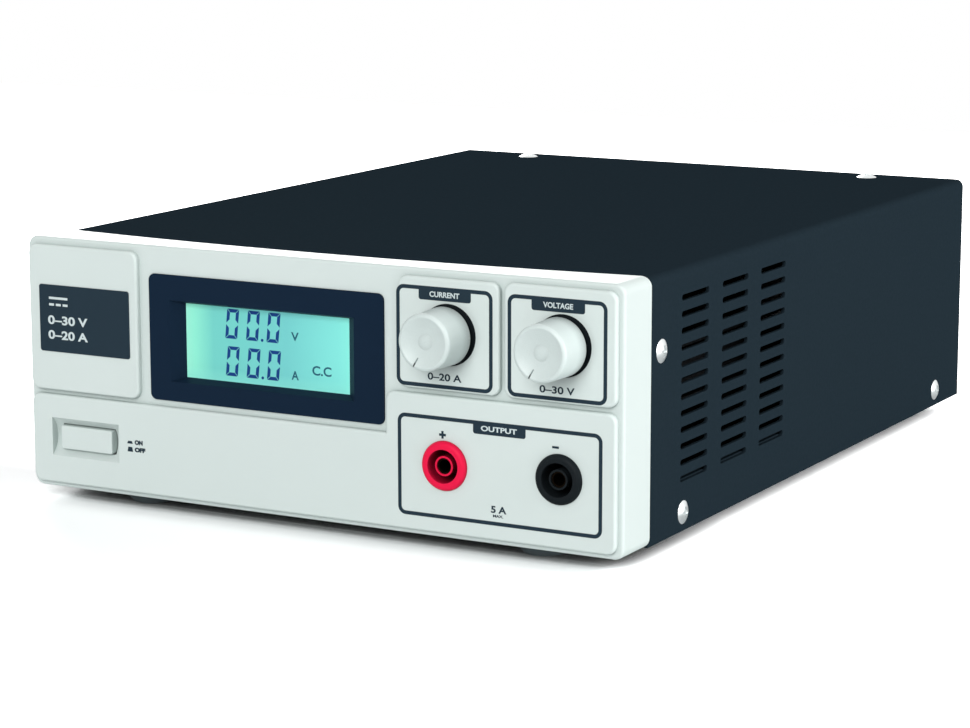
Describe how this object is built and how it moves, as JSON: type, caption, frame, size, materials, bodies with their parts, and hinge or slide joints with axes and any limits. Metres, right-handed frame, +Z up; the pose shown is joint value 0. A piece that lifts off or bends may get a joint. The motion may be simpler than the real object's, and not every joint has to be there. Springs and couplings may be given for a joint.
{
  "type": "laboratory power supply",
  "caption": "Bench DC power supply with a lit display, current and voltage knobs, safety sockets and a push switch in a moulded front on a vented steel case.",
  "frame": {"origin": "on the bench, under the middle of the part's box", "axes": "+X to the right of someone facing the front, +Y from the front panel to the back, +Z up"},
  "size_m": [0.2234, 0.338, 0.0906],
  "materials": {
    "white_abs": "satin moulded ABS",
    "coat_steel": "fine powder coat",
    "zinc_steel": "zinc plated sheet",
    "navy_plastic": "satin moulded",
    "display_glass": "lit cyan-green liquid crystal glass",
    "light_guide": "milky light guide",
    "circuit_board": "solder resist",
    "black_plastic": "satin",
    "red_plastic": "gloss moulded",
    "post_base_plastic": "one red and one black moulding",
    "knob_plastic": "satin moulded",
    "nickel": "bright nickel",
    "pot_case": "pressed tin plate",
    "brass": "plain",
    "copper": "copper, packed as brass",
    "capacitor_sleeve": "aluminium can in a dark sleeve",
    "film_box": "moulded box",
    "ferrite": "ferrite",
    "winding_tape": "polyester tape",
    "heatsink_aluminium": "extruded",
    "chip_resin": "moulded resin",
    "fuse_glass": "glass tube with metal caps",
    "lead_sleeve": "insulated copper leads",
    "foot_rubber": "matt grey rubber"
  },
  "bodies": {
    "case": {"top_cover": "coat_steel", "base_tray": "zinc_steel", "front_plate": "zinc_steel", "rear_panel": "coat_steel", "front_bezel": "white_abs", "display_frame": "navy_plastic", "display_glass": "display_glass", "backlight": "light_guide", "control_board": "circuit_board", "knob_collars": "black_plastic", "current_pot": "pot_case", "voltage_pot": "pot_case", "pot_nuts": "nickel", "red_socket": "red_plastic", "black_socket": "black_plastic", "socket_contacts": "brass", "socket_nuts": "black_plastic", "button_spring": "nickel", "power_switch": "black_plastic", "main_board": "circuit_board", "board_standoffs": "brass", "input_capacitors": "capacitor_sleeve", "output_capacitors": "capacitor_sleeve", "filter_capacitors": "film_box", "transformer_core": "ferrite", "transformer_winding": "winding_tape", "choke_cores": "ferrite", "choke_windings": "copper", "filter_choke": "ferrite", "input_heatsink": "heatsink_aluminium", "output_heatsink": "heatsink_aluminium", "power_transistors": "chip_resin", "bridge_rectifier": "chip_resin", "board_parts": "chip_resin", "fan_frame": "black_plastic", "fan_guard": "nickel", "fan_screws": "nickel", "inlet_body": "black_plastic", "inlet_pins": "brass", "post_bases": "post_base_plastic", "post_studs": "brass", "busbars": "copper", "wiring": "lead_sleeve", "feet": "foot_rubber", "foot_screws": "nickel", "cover_screws": "nickel", "panel_screws": "nickel", "bezel_screws": "nickel"},
    "power_button": {"power_button": "white_abs"},
    "current_knob": {"current_knob": "knob_plastic", "current_shaft": "nickel"},
    "voltage_knob": {"voltage_knob": "knob_plastic", "voltage_shaft": "nickel"},
    "fan_wheel": {"fan_rotor": "black_plastic"},
    "fuse_drawer": {"fuse_drawer": "black_plastic", "fuse": "fuse_glass"},
    "red_ring": {"red_clamp_ring": "nickel"},
    "red_cap": {"red_post_cap": "red_plastic"},
    "black_ring": {"black_clamp_ring": "nickel"},
    "black_cap": {"black_post_cap": "black_plastic"}
  },
  "joints": [
    {"name": "button_push", "type": "slide", "parent": "case", "child": "power_button", "axis": [0, 1, 0], "range_m": [0, 0.0035], "stiffness_N_per_m": 400, "springref_m": -0.001, "deforming": ["button_spring"]},
    {"name": "current_turn", "type": "hinge", "parent": "case", "child": "current_knob", "pos_m": [0.0514, -0.1534, 0.0702], "axis": [0, 1, 0], "range_deg": [0, 300]},
    {"name": "voltage_turn", "type": "hinge", "parent": "case", "child": "voltage_knob", "pos_m": [0.0913, -0.1534, 0.0702], "axis": [0, 1, 0], "range_deg": [0, 300]},
    {"name": "fan_spin", "type": "hinge", "parent": "case", "child": "fan_wheel", "pos_m": [-0.018, 0.1339, 0.048], "axis": [0, 1, 0], "continuous": true},
    {"name": "fuse_drawer_slide", "type": "slide", "parent": "case", "child": "fuse_drawer", "axis": [0, 1, 0], "range_m": [0, 0.02]},
    {"name": "red_ring_slide", "type": "slide", "parent": "case", "child": "red_ring", "axis": [0, 1, 0], "range_m": [0, 0.005]},
    {"name": "red_cap_turn", "type": "hinge", "parent": "red_ring", "child": "red_cap", "pos_m": [0.045, 0.1511, 0.037], "axis": [0, 1, 0], "range_deg": [0, 1440]},
    {"name": "black_ring_slide", "type": "slide", "parent": "case", "child": "black_ring", "axis": [0, 1, 0], "range_m": [0, 0.005]},
    {"name": "black_cap_turn", "type": "hinge", "parent": "black_ring", "child": "black_cap", "pos_m": [0.08, 0.1511, 0.037], "axis": [0, 1, 0], "range_deg": [0, 1440]}
  ],
  "couplings": [
    {"joint": "red_ring_slide", "follows": "red_cap_turn", "m_per_rad": 0.00019894},
    {"joint": "black_ring_slide", "follows": "black_cap_turn", "m_per_rad": 0.00019894}
  ]
}
